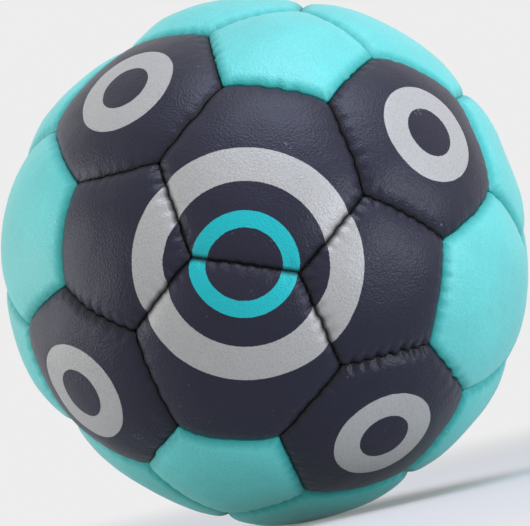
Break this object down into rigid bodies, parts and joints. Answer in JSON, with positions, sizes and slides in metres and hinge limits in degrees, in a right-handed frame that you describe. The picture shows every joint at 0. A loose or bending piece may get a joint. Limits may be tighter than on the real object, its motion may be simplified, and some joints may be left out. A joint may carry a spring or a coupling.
{
  "type": "handball",
  "caption": "Padded ball of hand-stitched pentagonal and hexagonal panels over a rubber bladder, with a valve for a pump needle.",
  "frame": {"origin": "centre of the ball", "axes": "+Z out through the valve, -Y out through the middle of the printed front, +X to the right as seen from the front"},
  "size_m": [0.1876, 0.1866, 0.1879],
  "materials": {
    "cover_navy": "polyurethane-coated synthetic leather, embossed grain, satin, printed with plain rings",
    "cover_turquoise": "polyurethane-coated synthetic leather, embossed grain, satin",
    "pad_foam": "soft closed-cell foam",
    "lining_cloth": "laminated polyester and cotton cloth",
    "waxed_thread": "waxed polyester thread",
    "bladder_rubber": "moulded butyl, matt",
    "valve_rubber": "moulded, matt"
  },
  "bodies": {
    "root": {"hexagon_front_centre_upper": "cover_navy", "hexagon_front_centre_lower": "cover_navy", "hexagon_front_upper_left": "cover_navy", "hexagon_front_upper_right": "cover_navy", "hexagon_front_lower_left": "cover_navy", "hexagon_front_lower_right": "cover_navy", "pentagon_front_left": "cover_navy", "pentagon_front_right": "cover_navy", "hexagon_back_centre_upper": "cover_navy", "hexagon_back_centre_lower": "cover_navy", "hexagon_back_upper_left": "cover_navy", "hexagon_back_upper_right": "cover_navy", "hexagon_back_lower_left": "cover_navy", "hexagon_back_lower_right": "cover_navy", "pentagon_back_left": "cover_navy", "pentagon_back_right": "cover_navy", "hexagon_top_valve": "cover_turquoise", "hexagon_top_right": "cover_turquoise", "hexagon_bottom_left": "cover_turquoise", "hexagon_bottom_right": "cover_turquoise", "hexagon_left_front": "cover_turquoise", "hexagon_left_back": "cover_turquoise", "hexagon_right_front": "cover_turquoise", "hexagon_right_back": "cover_turquoise", "pentagon_top_front": "cover_turquoise", "pentagon_top_back": "cover_turquoise", "pentagon_bottom_front": "cover_turquoise", "pentagon_bottom_back": "cover_turquoise", "pentagon_left_upper": "cover_turquoise", "pentagon_left_lower": "cover_turquoise", "pentagon_right_upper": "cover_turquoise", "pentagon_right_lower": "cover_turquoise", "pads_of_hexagons": "pad_foam", "pads_of_pentagons": "pad_foam", "pad_at_valve": "pad_foam", "linings_of_hexagons": "lining_cloth", "linings_of_pentagons": "lining_cloth", "lining_at_valve": "lining_cloth", "thread_between_hexagons": "waxed_thread", "thread_round_pentagons": "waxed_thread", "bladder": "bladder_rubber", "valve_body": "valve_rubber", "valve_insert": "valve_rubber"}
  },
  "joints": []
}
